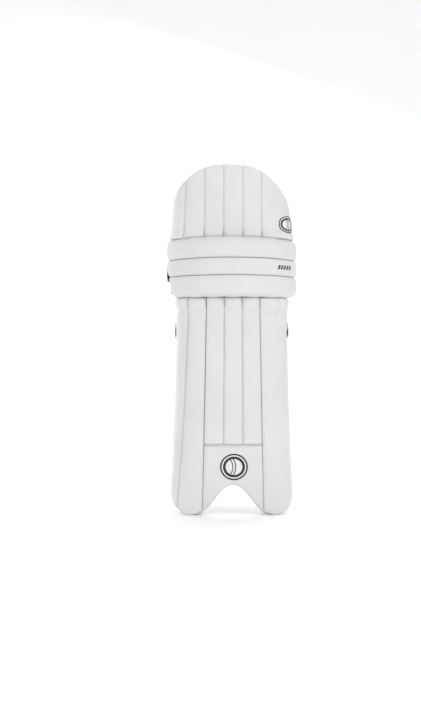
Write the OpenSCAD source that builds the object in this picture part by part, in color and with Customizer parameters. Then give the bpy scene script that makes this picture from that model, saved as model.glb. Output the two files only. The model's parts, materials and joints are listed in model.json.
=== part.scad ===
/* [Overall] */
// Height from the ear tips to the top of the shin section
shin_top = 438; // [400:2:460]
// Height of the knee section
knee_h = 113; // [108:1:120]
// Height of the thigh guard above the knee section
hat_h = 147; // [120:1:160]
// Distance from the leg's axis forward to the backing of the face
leg_r = 56; // [52:1:64]

/* [Face] */
// Width of one face channel on the shin, measured round the curve
shin_pitch = 35; // [33:0.5:36]
// Width of one face channel on the thigh guard, measured round the curve
hat_pitch = 36.5; // [35:0.5:38]
// Height of the stuffing over the backing
lobe_h = 14; // [10:1:18]
// Thickness of the synthetic leather cover
skin = 1.6; // [1:0.2:2.4]
// Diameter of a cane rod
cane_d = 7; // [5:0.5:8]

/* [Instep] */
// Height of the arch that clears the shoe
arch_h = 64; // [50:2:80]
// Half the width of the arch
arch_x = 80; // [74:1:86]
// Height of the seam above the instep panel
instep_top = 144; // [136:2:160]
// Height of the top of the ankle lining
ankle_top = 189; // [180:1:200]

/* [Knee] */
// Radius of the knee section's backing
knee_r = 114; // [108:1:120]
// How far a knee roll stands out from the backing
roll_d = 38; // [30:1:42]
// Half the width of the knee section
roll_x = 132; // [126:1:136]

/* [Straps] */
// Width of the webbing
web_w = 31; // [28:1:33]
// Thickness of the webbing
web_t = 2; // [1.5:0.1:2.2]
// Radius of a ring's upright bar
bar_r = 1.75; // [1.5:0.05:1.8]
// Half the distance between a ring's upright bars
bar_x = 8.5; // [8:0.25:10]

/* [Hidden] */
$fn = 40;
lobes = 3;                       // channels on each side of the middle one
gap = 0.3;                       // clearance between pieces that lie face to face
board_t = 3;                     // backing board
body_gap = 1;                    // clearance between sections that flex
knee_z = shin_top + body_gap;
knee_top = knee_z + knee_h;
hat_z = knee_top + body_gap;
hat_top = hat_z + hat_h;
step = 2.5;                      // spacing of points along a curve
loop_r = bar_r + 0.1;            // inside of a webbing loop
loop_R = loop_r + web_t;
strap_names = ["knee", "calf", "ankle"];
strap_z = [490, 372, 153];

NODES = concat(
    ["shin_face_cover", "instep_cover", "instep_foam", "instep_badge", "shin_canes"],
    [for (i = [1:2 * lobes + 1]) str("shin_filling_", i)],
    ["shin_backing_board", "shin_centre_liner", "calf_bolster_outer", "calf_bolster_inner",
     "ankle_liner", "calf_wing_outer", "calf_wing_inner"],
    ["knee_roll_cover_upper", "knee_roll_cover_middle", "knee_roll_cover_lower",
     "knee_roll_core_upper", "knee_roll_core_middle", "knee_roll_core_lower",
     "knee_backing_board", "knee_centre_liner", "knee_wing_outer", "knee_wing_inner"],
    ["top_hat_face_cover", "top_hat_canes"],
    [for (i = [1:2 * lobes + 1]) str("top_hat_filling_", i)],
    ["top_hat_backing_board", "top_hat_liner"],
    [for (k = strap_names) each [str(k, "_strap_tab"), str(k, "_ring"), str(k, "_strap"),
        str(k, "_hook_patch"), str(k, "_loop_patch")]]);
node = "all";

// ---- curves --------------------------------------------------------------------------------
// A wall is drawn by a slope table: its direction in degrees against distance from the middle.

shin_slope = [[0, 0], [35, 8], [70, 22], [87, 34], [100, 62], [122, 76],
              [128, 90], [150, 104], [170, 120], [190, 134]];
ankle_slope = [[0, 0], [35, 8], [70, 22], [87, 34], [100, 62], [122, 76], [128, 90], [150, 100]];
hat_slope = [[0, 0], [36, 8], [73, 21], [91, 32], [106, 58], [128, 68]];
knee_slope = [[0, 0], [120, 120 / knee_r * 180 / PI], [128, 54], [190, 66]];

// Points of a half curve that starts in front of the leg and follows a slope table.
function half_curve(slopes, length) =
    [for (i = 0, q = [0, -leg_r]; i <= length / step;
          q = q + step * [cos(lookup((i + 0.5) * step, slopes)), sin(lookup((i + 0.5) * step, slopes))],
          i = i + 1) q];
// The point at distance s round a wall [curve, slopes], pushed outwards by off; minus is the other side.
function at(wall, s, off = 0) =
    let (curve = wall[0], a = abs(s) / step, i = min(floor(a), len(curve) - 2),
         p = curve[i] + (a - i) * (curve[i + 1] - curve[i]),
         t = lookup(abs(s), wall[1]), q = p + off * [sin(t), -cos(t)])
    [s < 0 ? -q[0] : q[0], q[1]];
function reversed(list) = [for (i = [len(list) - 1:-1:0]) list[i]];
function steps(a, b, n) = [for (i = [0:n]) a + (b - a) * i / n];
// The height of a stuffed channel's cover at t, from 0 at one seam to 1 at the other.
function puff(t) = pow(max(0, 1 - pow(abs(2 * t - 1), 3.2)), 0.55);
function seam(i, pitch) = (i - 0.5) * pitch;

shin_wall = [half_curve(shin_slope, 190), shin_slope];
ankle_wall = [half_curve(ankle_slope, 150), ankle_slope];
hat_wall = [half_curve(hat_slope, 132), hat_slope];
knee_wall = [half_curve(knee_slope, 190), knee_slope];

// A strip of a wall between two offsets, from s0 to s1.
module strip(wall, s0, s1, off0, off1, n = 24) {
    polygon(concat([for (s = steps(s0, s1, n)) at(wall, s, off1)],
                   reversed([for (s = steps(s0, s1, n)) at(wall, s, off0)])));
}
// One stuffed channel: a flat back at off0 and a puffed front, drawn in by inset at its seams.
module lobe(wall, s0, s1, off0, h, inset = 0, n = 16) {
    a = s0 + inset;
    b = s1 - inset;
    polygon(concat([for (t = steps(0, 1, n)) at(wall, a + (b - a) * t, off0 + h * puff(t))],
                   reversed([for (t = steps(0.1, 0.9, 6)) at(wall, a + (b - a) * t, off0)])));
}
// The outside of a cover over a row of channels that meet at seams.
module lobed_face(wall, pitch) {
    edge = (lobes + 0.5) * pitch;
    top = [for (i = [-lobes:lobes]) for (k = [0:11])
        at(wall, seam(i + k / 12, pitch), skin + lobe_h * puff(k / 12))];
    polygon(concat(top, [at(wall, edge, skin)], [for (s = steps(edge, -edge, 60)) at(wall, s, gap)]));
}
// A cushion on the inner side of a wall, thick in the middle and thin at both edges.
module cushion(wall, s0, s1, thin, thick, n = 24) {
    polygon(concat([for (s = steps(s0, s1, n)) at(wall, s, -board_t - gap)],
                   [for (t = steps(1, 0, n)) at(wall, s0 + (s1 - s0) * t,
                       -board_t - gap - thin - (thick - thin) * puff(t))]));
}

// ---- outlines seen from the front ----------------------------------------------------------

// Height of the lower edge at x: the arch between the two ears.
function arch(x) = arch_h * (1 + cos(180 * min(1, abs(x) / arch_x))) / 2;
// The shin section from z_low to z_high, drawn in by inset at the arch and the ears.
module shin_outline(z_low, z_high, inset = 0) {
    tip_x = 92;
    ear_w = 32;
    ear_r = 40;
    intersection() {
        translate([-200, z_low]) square([400, z_high - z_low]);
        polygon(concat([for (x = steps(-arch_x, arch_x, 32)) [x, arch(x) + inset]],
                       [for (a = steps(-90, 0, 8)) [tip_x + (ear_w - inset) * cos(a), ear_r + (ear_r - inset) * sin(a)]],
                       [[tip_x + ear_w - inset, 600], [-tip_x - ear_w + inset, 600]],
                       [for (a = steps(180, 270, 8))
                           [-tip_x + (ear_w - inset) * cos(a), ear_r + (ear_r - inset) * sin(a)]]));
    }
}
// The thigh guard's dome, drawn in by inset all round.
module hat_outline(inset = 0) {
    half_w = 122 - inset;
    squareness = 2 / 2.35;
    intersection() {
        translate([-200, hat_z + inset]) square([400, hat_h]);
        polygon([for (t = steps(0, 180, 48))
            [half_w * sign(cos(t)) * pow(abs(cos(t)), squareness),
             hat_z + (hat_h - inset) * pow(abs(sin(t)), squareness)]]);
    }
}
// A flat shape drawn in X and Z, made into a block that is deep in Y.
module deep() {
    translate([0, 160, 0]) rotate([90, 0, 0]) linear_extrude(320) children();
}
// A plan section made as high as z0 to z1 and cut to an outline.
module cut_to(z0, z1) {
    intersection() {
        translate([0, 0, z0]) linear_extrude(z1 - z0) children(0);
        deep() children(1);
    }
}
// A block of plan section from z0 to z1.
module upright(z0, z1) {
    translate([0, 0, z0]) linear_extrude(z1 - z0) children();
}
// The space above a plane that starts at y0, z0 and falls backwards by an angle.
module above_plane(y0, z0, angle) {
    translate([-200, y0, z0]) rotate([-angle, 0, 0]) cube([400, 200, 100]);
}
// The space below a plane that starts at y0, z0 and rises backwards by an angle.
module below_plane(y0, z0, angle) {
    translate([-200, y0, z0]) rotate([angle, 0, 0]) translate([0, 0, -100]) cube([400, 200, 100]);
}

// ---- shin section --------------------------------------------------------------------------

instep_s = 1.5 * shin_pitch;     // the plain instep panel is as wide as the three middle channels

module shin_face_cover() {
    color("whitesmoke") difference() {
        cut_to(0, shin_top) {
            lobed_face(shin_wall, shin_pitch);
            shin_outline(0, shin_top);
        }
        for (i = [-lobes:lobes]) cut_to(skin, shin_top - skin) {
            lobe(shin_wall, seam(i, shin_pitch), seam(i + 1, shin_pitch), gap, lobe_h - gap, skin);
            shin_outline(0, shin_top, skin);
        }
        upright(-1, instep_top) strip(shin_wall, -instep_s - gap, instep_s + gap, -10, 40, 20);
    }
}
module shin_filling(i) {
    z_low = abs(i) <= 1 ? instep_top + gap : skin + gap;
    color("ivory") difference() {
        cut_to(z_low, shin_top - skin - gap) {
            lobe(shin_wall, seam(i, shin_pitch), seam(i + 1, shin_pitch), 2 * gap, lobe_h - 3 * gap, skin + gap);
            shin_outline(0, shin_top, skin + gap);
        }
        shin_cane(i, cane_d / 2 + 0.05, 0, shin_top);
    }
}
module shin_cane(i, r, z0, z1) {
    p = at(shin_wall, i * shin_pitch, lobe_h / 2);
    translate([p[0], p[1], z0]) cylinder(h = z1 - z0, r = r);
}
module shin_canes() {
    color("burlywood") for (i = [-lobes:lobes])
        shin_cane(i, cane_d / 2, abs(i) <= 1 ? instep_top + 2 : 30, shin_top - 3);
}
// The plain panel over the foot, drawn in by inset, with its back at an offset from the board.
module instep_section(inset, back = gap) {
    edge = instep_s - inset;
    side = 3;
    front = [for (s = steps(-edge, edge, 24))
        at(shin_wall, s, side + (lobe_h - inset - side) * pow(max(0, 1 - pow(abs(s / edge), 6)), 0.6))];
    polygon(concat(front, [for (s = steps(edge, -edge, 24)) at(shin_wall, s, back)]));
}
module instep_cover() {
    color("whitesmoke") difference() {
        cut_to(0, instep_top - gap) {
            instep_section(0);
            shin_outline(0, instep_top);
        }
        cut_to(skin, instep_top - gap - skin) {
            instep_section(skin, -1);
            shin_outline(0, instep_top, skin);
        }
    }
}
module instep_foam() {
    color("ivory") cut_to(skin, instep_top - 2 * gap - skin) {
        instep_section(skin + gap);
        shin_outline(0, instep_top, skin + gap);
    }
}
// A round sewn patch in the middle of the instep panel.
module instep_badge() {
    color("black") intersection() {
        upright(60, 140) strip(shin_wall, -40, 40, lobe_h + 2 * gap, lobe_h + 2 * gap + 0.8, 20);
        translate([0, -20, 101]) rotate([90, 0, 0]) cylinder(h = 100, r = 26);
    }
}
module shin_backing_board() {
    color("gainsboro") cut_to(0, shin_top) {
        strip(shin_wall, -121, 121, -board_t, 0, 60);
        shin_outline(0, shin_top, 1);
    }
}
module shin_centre_liner() {
    color("lavender") upright(ankle_top + 0.5, shin_top - 3)
        strip(shin_wall, -33.5, 33.5, -board_t - 9, -board_t - gap, 16);
}
// A long upright cushion on the inner side of the shin.
module calf_bolster() {
    color("dimgray") upright(ankle_top + 0.5, shin_top - 3) cushion(shin_wall, 34, 87, 9, 22);
}
module calf_bolster_outer() { calf_bolster(); }
module calf_bolster_inner() { mirror([1, 0, 0]) calf_bolster(); }

// The side flap: it lines the edge of the shin and wraps round behind it.
// Its top is cut low at the back, to leave room when the knee bends.
module calf_wing() {
    color("lavender") difference() {
        upright(ankle_top + 0.5, shin_top - 3) cushion(shin_wall, 87.5, 188, 5, 13, 36);
        above_plane(-4, shin_top - 3, 12);
    }
}
module calf_wing_outer() { calf_wing(); }
module calf_wing_inner() { mirror([1, 0, 0]) calf_wing(); }

// The glossy lining behind the instep and the two ears, with sewn channels on each side.
module ankle_liner() {
    edge = 146;
    color("dimgray") cut_to(0, ankle_top) {
        polygon(concat([for (s = steps(-edge, edge, 72)) at(ankle_wall, s, -board_t - gap)],
            [for (s = steps(edge, -edge, 120)) at(ankle_wall, s, -board_t - gap - ankle_depth(abs(s)))]));
        shin_outline(0, ankle_top);
    }
}
function ankle_depth(s) = s < 55 ? 8 : s < 88 ? 5 + 9 * puff((s - 55) / 33)
    : s < 120 ? 5 + 9 * puff((s - 88) / 32) : 5 + 6 * puff((s - 120) / 26.2);

// ---- knee section --------------------------------------------------------------------------

roll_edges = [0, 40, 73, knee_h];          // heights of the seams between the rolls
roll_s = 120;                              // half the length of the backing, round the curve

// A section turned about the middle of the knee's curve, as far as the roll's ends.
module knee_turn() {
    reach = 66;
    translate([0, knee_r - leg_r, 0]) rotate([0, 0, -90 - reach]) rotate_extrude(angle = 2 * reach) children();
}
// A roll's half-round section and its rounded outline from the front, drawn in by inset.
module roll_shape(i, inset) {
    z0 = knee_z + roll_edges[i] + gap / 2 + inset;
    z1 = knee_z + roll_edges[i + 1] - gap / 2 - inset;
    mid = (z0 + z1) / 2;
    half = (z1 - z0) / 2;
    flatness = 0.62;
    end_r = 15;
    intersection() {
        knee_turn() polygon([for (a = steps(-90, 90, 20))
            [knee_r + gap + inset + (roll_d - 2 * inset) * pow(abs(cos(a)), flatness),
             mid + half * sign(a) * pow(abs(sin(a)), flatness)]]);
        deep() polygon(concat(
            [for (a = steps(-90, 90, 12)) [roll_x - end_r + (end_r - inset) * pow(abs(cos(a)), flatness),
                mid + half * sign(a) * pow(abs(sin(a)), flatness)]],
            [for (a = steps(90, -90, 12)) [-roll_x + end_r - (end_r - inset) * pow(abs(cos(a)), flatness),
                mid + half * sign(a) * pow(abs(sin(a)), flatness)]]));
    }
}
module knee_roll_cover(i) {
    color("whitesmoke") difference() {
        roll_shape(i, 0);
        roll_shape(i, skin);
    }
}
module knee_roll_core(i) {
    color("ivory") roll_shape(i, skin + gap);
}
module knee_roll_cover_lower() { knee_roll_cover(0); }
module knee_roll_cover_middle() { knee_roll_cover(1); }
module knee_roll_cover_upper() { knee_roll_cover(2); }
module knee_roll_core_lower() { knee_roll_core(0); }
module knee_roll_core_middle() { knee_roll_core(1); }
module knee_roll_core_upper() { knee_roll_core(2); }
module knee_backing_board() {
    color("gainsboro") upright(knee_z + 1, knee_top - 1) strip(knee_wall, -roll_s, roll_s, -board_t, 0, 60);
}
module knee_centre_liner() {
    color("lavender") upright(knee_z + 1, knee_top - 1)
        strip(knee_wall, -53, 53, -board_t - 12, -board_t - gap, 24);
}
// The padded side of the knee cradle; its ends are cut to leave room above and below at the back.
module knee_wing() {
    color("dimgray") difference() {
        upright(knee_z + 1, knee_top - 1) cushion(knee_wall, 53.5, 176, 6, 13, 36);
        below_plane(-4, knee_z + 1, 10);
        above_plane(-4, knee_top - 1, 6);
    }
}
module knee_wing_outer() { knee_wing(); }
module knee_wing_inner() { mirror([1, 0, 0]) knee_wing(); }

// ---- thigh guard ---------------------------------------------------------------------------

module top_hat_face_cover() {
    color("whitesmoke") difference() {
        cut_to(hat_z, hat_top) {
            lobed_face(hat_wall, hat_pitch);
            hat_outline();
        }
        for (i = [-lobes:lobes]) cut_to(hat_z, hat_top) {
            lobe(hat_wall, seam(i, hat_pitch), seam(i + 1, hat_pitch), gap, lobe_h - gap, skin);
            hat_outline(skin);
        }
    }
}
module top_hat_filling(i) {
    color("ivory") difference() {
        cut_to(hat_z, hat_top) {
            lobe(hat_wall, seam(i, hat_pitch), seam(i + 1, hat_pitch), 2 * gap, lobe_h - 3 * gap, skin + gap);
            hat_outline(skin + gap);
        }
        hat_cane(i, cane_d / 2 + 0.05);
    }
}
// A cane rod in a thigh guard channel: shorter towards the sides, where the guard is lower.
module hat_cane(i, r) {
    p = at(hat_wall, i * hat_pitch, lobe_h / 2);
    length = [128, 124, 108, 52][abs(i)];
    translate([p[0], p[1], hat_z + 4]) cylinder(h = length, r = r);
}
module top_hat_canes() {
    color("burlywood") for (i = [-lobes:lobes]) hat_cane(i, cane_d / 2);
}
module top_hat_backing_board() {
    color("gainsboro") cut_to(hat_z, hat_top) {
        strip(hat_wall, -127, 127, -board_t, 0, 60);
        hat_outline(1);
    }
}
module top_hat_liner() {
    edge = 127;
    color("lavender") cut_to(hat_z, hat_top) {
        polygon(concat([for (s = steps(-edge, edge, 60)) at(hat_wall, s, -board_t - gap)],
            [for (i = [lobes:-1:-lobes]) for (t = steps(1, 0, 10))
                at(hat_wall, max(-edge, min(edge, seam(i + t, hat_pitch))), -board_t - 3 - 5 * puff(t))]));
        hat_outline(1);
    }
}

// ---- straps --------------------------------------------------------------------------------

ring_at = [[115, 62], [103, 62], [76, 28]];      // plan place of each ring's middle
tab_x = [0, 116.5, 116.5];                       // how far out the calf and ankle tabs stand
tab_y = [0, -22, -16];                           // where the calf and ankle tabs' sewn ends stop
strap_end = [-132, -117, -117];                  // how far out each strap's free end stands
strap_stop = [20, -14, -14];                     // where each strap's free end stops
function strap_index(k) = search([k], strap_names)[0];

// The white moulded ring: two upright bars joined by thicker end bars.
module ring(k) {
    cap_r = 2.4;
    half = web_w / 2 + 1 + cap_r;
    i = strap_index(k);
    color("white") translate([ring_at[i][0], ring_at[i][1], strap_z[i]]) {
        for (x = [-bar_x, bar_x]) translate([x, 0, -half]) cylinder(h = 2 * half, r = bar_r);
        for (z = [-half, half]) {
            translate([-bar_x, 0, z]) rotate([0, 90, 0]) cylinder(h = 2 * bar_x, r = cap_r);
            for (x = [-bar_x, bar_x]) translate([x, 0, z]) sphere(r = cap_r);
        }
    }
}
// Webbing of thickness t whose outer face runs straight to x, turns a corner and runs on to y_end.
// The side is 1 for a turn at the right and -1 for one at the left.
module corner_line(x_start, y_face, x, y_end, t, side) {
    r = min(12, abs(x - x_start) - 0.5);
    c = [x - side * r, y_face - r];
    polygon(concat([[x_start, y_face]],
                   [for (a = steps(90, 0, 8)) c + r * [side * cos(a), sin(a)]],
                   [[x, y_end], [x - side * t, y_end]],
                   [for (a = steps(0, 90, 8)) c + (r - t) * [side * cos(a), sin(a)]],
                   [[x_start, y_face - t]]));
}
// The eye of a webbing loop round an upright bar, joined to the webbing drawn by its child.
module eye(x, y, z) {
    translate([x, y, z - web_w / 2]) difference() {
        union() {
            cylinder(h = web_w, r = loop_R);
            children();
        }
        translate([0, 0, -1]) cylinder(h = web_w + 2, r = loop_r);
    }
}
// The knee's tab lies along the outside of the wing and comes to the ring's bar from in front.
module wing_line(x, y) {
    polygon(concat([for (s = steps(134, 176, 12)) at(knee_wall, s, 2 * web_t - board_t)],
                   [[x + 5.9, y - 10], [x + 4.1, y - 3], [x + loop_R, y], [x, y], [x + 0.7, y - 3.8], [x + 2.4, y - 10]],
                   [for (s = steps(176, 134, 12)) at(knee_wall, s, -board_t)]));
}
// The webbing that holds the ring: a double layer sewn to the outer edge of the pad.
module strap_tab(k) {
    i = strap_index(k);
    x = ring_at[i][0] + bar_x;
    y = ring_at[i][1];
    color("black") eye(x, y, strap_z[i]) linear_extrude(web_w) translate([-x, -y])
        if (k == "knee") wing_line(x, y);
        else corner_line(x, y + web_t, tab_x[i], tab_y[i], 2 * web_t, 1);
}
// The strap: a loop round the ring's other bar, sewn down on itself, and a free end.
module strap(k) {
    sewn = 28;
    i = strap_index(k);
    x = ring_at[i][0] - bar_x;
    y = ring_at[i][1];
    color("black") eye(x, y, strap_z[i]) linear_extrude(web_w) {
        translate([-sewn, -web_t]) square([sewn, 2 * web_t]);
        translate([-x, -y]) corner_line(x, y + web_t, strap_end[i], strap_stop[i], web_t, -1);
    }
}
// The hook half of the fastening, on the inner face of the strap's free end.
module hook_patch(k) {
    i = strap_index(k);
    x = strap_end[i] + web_t + 0.02;
    color("dimgray") upright(strap_z[i] - web_w / 2 + 2, strap_z[i] + web_w / 2 - 2)
        translate([x, strap_stop[i] + 2]) square([1.1, 22]);
}
// The loop half, sewn to the pad where the strap's free end lands. At the knee it covers a wedge on the wing.
module loop_patch(k) {
    i = strap_index(k);
    x = strap_end[i] + web_t + 1.12 + gap;
    y = strap_stop[i];
    color("dimgray") upright(strap_z[i] - web_w / 2 + 1, strap_z[i] + web_w / 2 - 1)
        if (k == "knee") polygon(concat([[x, y - 6], [x, y + 26]],
                                        [for (s = steps(-172, -136, 9)) at(knee_wall, s, -board_t)]));
        else translate([x, y - 6]) square([1.1, 32]);
}

// ---- every node ----------------------------------------------------------------------------

function wanted(name) = node == "all" || node == name;
if (wanted("shin_face_cover")) shin_face_cover();
if (wanted("instep_cover")) instep_cover();
if (wanted("instep_foam")) instep_foam();
if (wanted("instep_badge")) instep_badge();
if (wanted("shin_canes")) shin_canes();
for (i = [-lobes:lobes]) if (wanted(str("shin_filling_", i + lobes + 1))) shin_filling(i);
if (wanted("shin_backing_board")) shin_backing_board();
if (wanted("shin_centre_liner")) shin_centre_liner();
if (wanted("calf_bolster_outer")) calf_bolster_outer();
if (wanted("calf_bolster_inner")) calf_bolster_inner();
if (wanted("ankle_liner")) ankle_liner();
if (wanted("calf_wing_outer")) calf_wing_outer();
if (wanted("calf_wing_inner")) calf_wing_inner();
if (wanted("knee_roll_cover_upper")) knee_roll_cover_upper();
if (wanted("knee_roll_cover_middle")) knee_roll_cover_middle();
if (wanted("knee_roll_cover_lower")) knee_roll_cover_lower();
if (wanted("knee_roll_core_upper")) knee_roll_core_upper();
if (wanted("knee_roll_core_middle")) knee_roll_core_middle();
if (wanted("knee_roll_core_lower")) knee_roll_core_lower();
if (wanted("knee_backing_board")) knee_backing_board();
if (wanted("knee_centre_liner")) knee_centre_liner();
if (wanted("knee_wing_outer")) knee_wing_outer();
if (wanted("knee_wing_inner")) knee_wing_inner();
if (wanted("top_hat_face_cover")) top_hat_face_cover();
if (wanted("top_hat_canes")) top_hat_canes();
for (i = [-lobes:lobes]) if (wanted(str("top_hat_filling_", i + lobes + 1))) top_hat_filling(i);
if (wanted("top_hat_backing_board")) top_hat_backing_board();
if (wanted("top_hat_liner")) top_hat_liner();
for (k = strap_names) {
    if (wanted(str(k, "_strap_tab"))) strap_tab(k);
    if (wanted(str(k, "_ring"))) ring(k);
    if (wanted(str(k, "_strap"))) strap(k);
    if (wanted(str(k, "_hook_patch"))) hook_patch(k);
    if (wanted(str(k, "_loop_patch"))) loop_patch(k);
}
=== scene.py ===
import json
import math

import bmesh
import bpy
import numpy as np
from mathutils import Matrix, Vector, noise

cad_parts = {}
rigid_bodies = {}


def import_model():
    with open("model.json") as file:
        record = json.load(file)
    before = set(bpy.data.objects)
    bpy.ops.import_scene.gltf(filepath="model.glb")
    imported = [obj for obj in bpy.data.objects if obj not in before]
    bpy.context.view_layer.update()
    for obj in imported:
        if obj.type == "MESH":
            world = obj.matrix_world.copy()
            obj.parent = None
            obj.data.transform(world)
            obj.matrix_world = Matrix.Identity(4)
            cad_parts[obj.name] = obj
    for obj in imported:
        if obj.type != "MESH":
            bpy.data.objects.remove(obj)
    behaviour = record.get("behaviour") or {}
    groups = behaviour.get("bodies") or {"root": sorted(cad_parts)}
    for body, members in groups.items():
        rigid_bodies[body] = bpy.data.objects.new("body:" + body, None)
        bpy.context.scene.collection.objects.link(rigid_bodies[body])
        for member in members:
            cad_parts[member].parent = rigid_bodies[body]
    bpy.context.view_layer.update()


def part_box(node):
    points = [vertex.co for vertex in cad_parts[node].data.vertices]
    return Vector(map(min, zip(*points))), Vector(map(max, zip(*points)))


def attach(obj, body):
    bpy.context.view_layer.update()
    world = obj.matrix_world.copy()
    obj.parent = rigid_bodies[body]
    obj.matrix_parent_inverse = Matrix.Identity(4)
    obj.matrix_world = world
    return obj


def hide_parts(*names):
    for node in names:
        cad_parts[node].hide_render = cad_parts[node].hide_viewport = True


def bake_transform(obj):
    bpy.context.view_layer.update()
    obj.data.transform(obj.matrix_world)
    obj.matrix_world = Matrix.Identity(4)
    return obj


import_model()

MM = 0.001
SIDES = {"outer": 1, "inner": -1}

# ---- heights and widths, in metres -----------------------------------------------------------

LEG_R = 56 * MM                  # from the leg's axis to the board behind the face
BOARD = 3.3 * MM                 # from the front of the board to the front of the linings
SHIN_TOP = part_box("shin_face_cover")[1][2]
KNEE_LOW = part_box("knee_roll_cover_lower")[0][2]
KNEE_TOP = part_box("knee_roll_cover_upper")[1][2]
HAT_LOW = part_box("top_hat_face_cover")[0][2]
HAT_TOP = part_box("top_hat_face_cover")[1][2]
INSTEP_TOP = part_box("instep_cover")[1][2]
ANKLE_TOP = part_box("ankle_liner")[1][2]
SHIN_PITCH = 35 * MM
HAT_PITCH = 36.5 * MM
LOBES = (-3, -2, -1, 0, 1, 2, 3)
FACE_H = 5.8 * MM                # height of a channel's stuffing over its seams
SEAM_H = 8.2 * MM                # height of the cover at a seam
FACE_BASE = 1.2 * MM             # where the stuffing starts, in front of the board
FACE_BACK = -2.8 * MM            # the back of a face piece, behind the board's front

# The straps' places and sizes are in millimetres.
STRAPS = {
    "knee": {"body": "knee", "z": 490, "ring": (115, 62), "tab": None, "end": (-131, 20)},
    "calf": {"body": "shin", "z": 372, "ring": (103, 62), "tab": (114, -22), "end": (-114.5, -14)},
    "ankle": {"body": "shin", "z": 153, "ring": (76, 28), "tab": (118, -16), "end": (-118.5, -14)},
}
BAR_X = 8.5                      # from a ring's middle to its upright bars
WEB_W = 31                       # width of the webbing
WEB_T = 2.0                      # thickness of the webbing
EYE_R = 2.95                     # radius of the webbing's middle where it goes round a bar
TURN_R = 12                      # radius of a strap's outer face where it turns along the pad's side


# ---- walls -----------------------------------------------------------------------------------

class Wall:
    """A wall in plan: its place and direction at each distance from its middle."""

    def __init__(self, slopes, length):
        self.s = np.arange(0, length, MM)
        marks, angles = zip(*slopes)
        self.slope = np.radians(np.interp(self.s, np.array(marks) * MM, angles))
        middle = np.radians(np.interp(self.s + MM / 2, np.array(marks) * MM, angles))
        self.x = np.concatenate([[0], np.cumsum(np.cos(middle))[:-1] * MM])
        self.y = np.concatenate([[0], np.cumsum(np.sin(middle))[:-1] * MM]) - LEG_R

    def at(self, s, z, off):
        """Points at distance s and height z, pushed outwards by off."""
        a = np.abs(s)
        t = np.interp(a, self.s, self.slope)
        x = np.interp(a, self.s, self.x) + off * np.sin(t)
        y = np.interp(a, self.s, self.y) - off * np.cos(t)
        return np.stack(np.broadcast_arrays(np.where(s < 0, -x, x), y, z), axis=-1)


KNEE_R = 114
SHIN = Wall([(0, 0), (35, 8), (70, 22), (87, 34), (100, 62), (122, 76), (128, 90), (150, 104),
             (170, 120), (195, 134)], 195 * MM)
ANKLE = Wall([(0, 0), (35, 8), (70, 22), (87, 34), (100, 62), (122, 76), (128, 90), (150, 100)], 152 * MM)
HAT = Wall([(0, 0), (36, 8), (73, 21), (91, 32), (106, 58), (135, 68)], 135 * MM)
KNEE = Wall([(0, 0), (120, math.degrees(120 / KNEE_R)), (128, 54), (190, 66)], 190 * MM)


# ---- meshes ----------------------------------------------------------------------------------

def placed(name, data):
    """A new object of some data, in the scene."""
    obj = bpy.data.objects.new(name, data)
    bpy.context.scene.collection.objects.link(obj)
    return obj


def new_object(name, vertices, faces, body):
    """A mesh object in the scene that rides on a body."""
    mesh = bpy.data.meshes.new(name)
    mesh.from_pydata([tuple(v) for v in vertices], [], faces)
    tidy = bmesh.new()
    tidy.from_mesh(mesh)
    bmesh.ops.remove_doubles(tidy, verts=tidy.verts, dist=0.00002)
    bmesh.ops.dissolve_degenerate(tidy, edges=tidy.edges, dist=0.00001)
    bmesh.ops.recalc_face_normals(tidy, faces=tidy.faces)
    tidy.to_mesh(mesh)
    tidy.free()
    mesh.polygons.foreach_set("use_smooth", [True] * len(mesh.polygons))
    obj = placed(name, mesh)
    if body:
        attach(obj, body)
    return obj


def grid_solid(front, back):
    """Vertices and faces of the closed solid between two grids of points."""
    nu, nv = front.shape[:2]
    half = nu * nv
    faces = []
    for i in range(nu - 1):
        for j in range(nv - 1):
            a, b, c, d = i * nv + j, (i + 1) * nv + j, (i + 1) * nv + j + 1, i * nv + j + 1
            faces.append((a, b, c, d))
            faces.append((a + half, d + half, c + half, b + half))
    rim = ([(i, 0) for i in range(nu)] + [(nu - 1, j) for j in range(1, nv)]
           + [(i, nv - 1) for i in range(nu - 2, -1, -1)] + [(0, j) for j in range(nv - 2, 0, -1)])
    rim = [i * nv + j for i, j in rim]
    faces += [(b, a, a + half, b + half) for a, b in zip(rim, rim[1:] + rim[:1])]
    return np.concatenate([front.reshape(-1, 3), back.reshape(-1, 3)]), faces


def skin(count, sides, closed=False):
    """Faces of a tube of rings, each with a number of sides. An open tube gets end caps."""
    faces = []
    for k in range(count if closed else count - 1):
        here, there = k * sides, (k + 1) % count * sides
        for i in range(sides):
            j = (i + 1) % sides
            faces.append((here + i, here + j, there + j, there + i))
    if not closed:
        faces += [tuple(range(sides)), tuple(range((count - 1) * sides, count * sides))]
    return faces


def joined(parts):
    """One vertex and face list out of several."""
    vertices, faces, count = [], [], 0
    for v, f in parts:
        vertices.append(np.asarray(v))
        faces += [tuple(k + count for k in face) for face in f]
        count += len(v)
    return np.concatenate(vertices), faces


def crowded(n, strength=0.72):
    """n + 1 values from 0 to 1 that crowd towards both ends."""
    t = np.linspace(0, 1, n + 1)
    return (1 - strength) * t + strength * (0.5 - 0.5 * np.cos(math.pi * t))


def dome(t, sharpness, power):
    """A stuffed section's height at t: 0 at both seams and 1 in the middle."""
    return np.maximum(0, 1 - np.abs(2 * t - 1) ** sharpness) ** power


def rounded(distance, radius):
    """How full a cushion is at a distance from its edge."""
    return np.sqrt(np.maximum(0, 1 - (1 - np.clip(distance / radius, 0, 1)) ** 2))


def bumps(s, z, size, seed):
    """Smooth noise from -1 to 1 over a surface, with waves of about a size."""
    flat = [noise.noise((a / size, b / size, seed * 7.31)) for a, b in zip(s.ravel(), z.ravel())]
    return np.array(flat).reshape(s.shape)


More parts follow.
